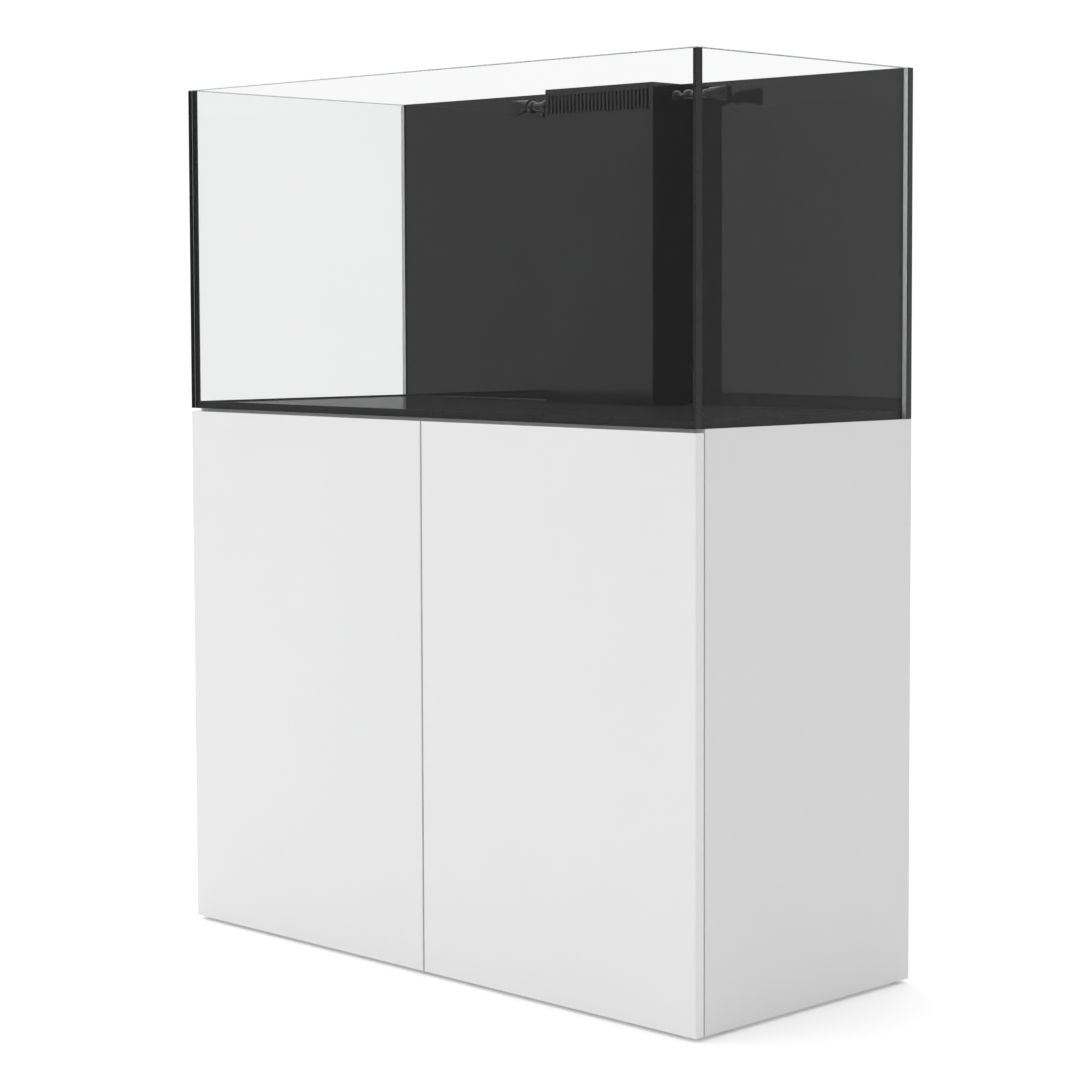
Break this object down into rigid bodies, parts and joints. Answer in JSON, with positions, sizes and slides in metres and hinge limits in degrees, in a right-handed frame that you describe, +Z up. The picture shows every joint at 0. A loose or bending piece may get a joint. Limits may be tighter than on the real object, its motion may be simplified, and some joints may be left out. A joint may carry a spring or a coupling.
{
  "type": "aquarium on stand",
  "caption": "Rimless glass aquarium with black back, rear weir box and side return nozzles, on a white handle-less cabinet holding its sump.",
  "frame": {"origin": "on the floor, under the middle of the cabinet, at the level of the glides undersides", "axes": "+Z up, the doors and front glass face -Y, +X to the right of someone facing the doors"},
  "size_m": [1.2, 0.5, 1.451],
  "materials": {
    "clear_glass": "clear, polished",
    "black_glass": "opaque black, polished",
    "sump_glass": "clear, polished",
    "silicone": "satin",
    "black_acrylic": "gloss",
    "dark_pvc": "satin",
    "moulded_black": "matte",
    "nozzle_plastic": "satin",
    "gasket_rubber": "matte",
    "white_laminate": "satin white melamine",
    "back_board": "matte white melamine",
    "door_lacquer": "satin white lacquer",
    "nickel_steel": "nickel plated",
    "bright_steel": "bright",
    "grey_plastic": "satin",
    "clear_rubber": "translucent",
    "red_plastic": "satin",
    "white_plastic": "satin",
    "sock_felt": "felt"
  },
  "bodies": {
    "stand": {"front_pane": "clear_glass", "back_pane": "black_glass", "left_pane": "clear_glass", "right_pane": "clear_glass", "bottom_pane": "black_glass", "front_seams": "silicone", "rear_seams": "silicone", "floor_seam": "silicone", "overflow_box": "black_acrylic", "drain_standpipe": "dark_pvc", "emergency_standpipe": "dark_pvc", "return_riser": "dark_pvc", "bulkheads": "moulded_black", "bulkhead_gaskets": "gasket_rubber", "bulkhead_nuts": "moulded_black", "left_nozzle_base": "nozzle_plastic", "right_nozzle_base": "nozzle_plastic", "left_side_panel": "white_laminate", "right_side_panel": "white_laminate", "top_panel": "white_laminate", "bottom_panel": "white_laminate", "back_panel": "back_board", "front_rail": "white_laminate", "centre_post": "white_laminate", "cam_locks": "nickel_steel", "cable_grommets": "grey_plastic", "floor_glides": "moulded_black", "door_bumpers": "clear_rubber", "left_hinge_arms": "nickel_steel", "right_hinge_arms": "nickel_steel", "hinge_plates": "nickel_steel", "hinge_screws": "bright_steel", "latch_housings": "grey_plastic", "drain_line": "dark_pvc", "emergency_line": "dark_pvc", "return_line": "dark_pvc", "gate_valve": "moulded_black", "sump_panes": "sump_glass", "sump_seams": "silicone", "sump_baffles": "black_acrylic", "sock_shelf": "black_acrylic", "pump_housing": "moulded_black"},
    "left_door_leaf": {"left_door": "door_lacquer", "left_hinge_cups": "nickel_steel", "left_hinge_pins": "bright_steel"},
    "right_door_leaf": {"right_door": "door_lacquer", "right_hinge_cups": "nickel_steel", "right_hinge_pins": "bright_steel"},
    "left_swivel": {"left_nozzle_link": "nozzle_plastic"},
    "left_spout": {"left_nozzle_tip": "nozzle_plastic"},
    "right_swivel": {"right_nozzle_link": "nozzle_plastic"},
    "right_spout": {"right_nozzle_tip": "nozzle_plastic"},
    "comb": {"weir_comb": "black_acrylic"},
    "left_plunger": {"left_latch_plunger": "grey_plastic"},
    "right_plunger": {"right_latch_plunger": "grey_plastic"},
    "knob": {"valve_knob": "red_plastic"},
    "gate": {"valve_gate": "white_plastic"},
    "sock": {"sock_ring": "white_plastic", "filter_sock": "sock_felt"},
    "impeller": {"pump_impeller": "white_plastic"}
  },
  "joints": [
    {"name": "left_door_hinge", "type": "hinge", "parent": "stand", "child": "left_door_leaf", "pos_m": [-0.593, -0.2432, 0.45], "axis": [0, 0, -1], "range_deg": [0, 95]},
    {"name": "right_door_hinge", "type": "hinge", "parent": "stand", "child": "right_door_leaf", "pos_m": [0.593, -0.2432, 0.45], "axis": [0, 0, 1], "range_deg": [0, 95]},
    {"name": "left_nozzle_swing", "type": "hinge", "parent": "stand", "child": "left_swivel", "pos_m": [-0.14, 0.1995, 1.425], "axis": [0, 0, 1], "range_deg": [-14, 22]},
    {"name": "left_nozzle_tilt", "type": "hinge", "parent": "left_swivel", "child": "left_spout", "pos_m": [-0.169, 0.1995, 1.425], "axis": [0, 1, 0], "range_deg": [-22, 22]},
    {"name": "right_nozzle_swing", "type": "hinge", "parent": "stand", "child": "right_swivel", "pos_m": [0.14, 0.1995, 1.425], "axis": [0, 0, 1], "range_deg": [-22, 14]},
    {"name": "right_nozzle_tilt", "type": "hinge", "parent": "right_swivel", "child": "right_spout", "pos_m": [0.169, 0.1995, 1.425], "axis": [0, 1, 0], "range_deg": [-22, 22]},
    {"name": "comb_lift", "type": "slide", "parent": "stand", "child": "comb", "axis": [0, 0, 1], "range_m": [0, 0.04]},
    {"name": "left_latch_press", "type": "slide", "parent": "stand", "child": "left_plunger", "axis": [0, 1, 0], "range_m": [0, 0.0015], "stiffness_N_per_m": 400, "springref_m": -0.003},
    {"name": "right_latch_press", "type": "slide", "parent": "stand", "child": "right_plunger", "axis": [0, 1, 0], "range_m": [0, 0.0015], "stiffness_N_per_m": 400, "springref_m": -0.003},
    {"name": "knob_turn", "type": "hinge", "parent": "stand", "child": "knob", "pos_m": [-0.075, 0.1375, 0.745], "axis": [0, 1, 0], "range_deg": [0, 1080]},
    {"name": "gate_slide", "type": "slide", "parent": "stand", "child": "gate", "axis": [0, 1, 0], "range_m": [0, 0.0251]},
    {"name": "sock_lift", "type": "slide", "parent": "stand", "child": "sock", "axis": [0, 0, 1], "range_m": [0, 0.06]},
    {"name": "impeller_spin", "type": "hinge", "parent": "stand", "child": "impeller", "pos_m": [0.305, 0.105, 0.094], "axis": [0, 1, 0], "continuous": true}
  ],
  "couplings": [
    {"joint": "gate_slide", "follows": "knob_turn", "m_per_rad": 0.0013263}
  ]
}
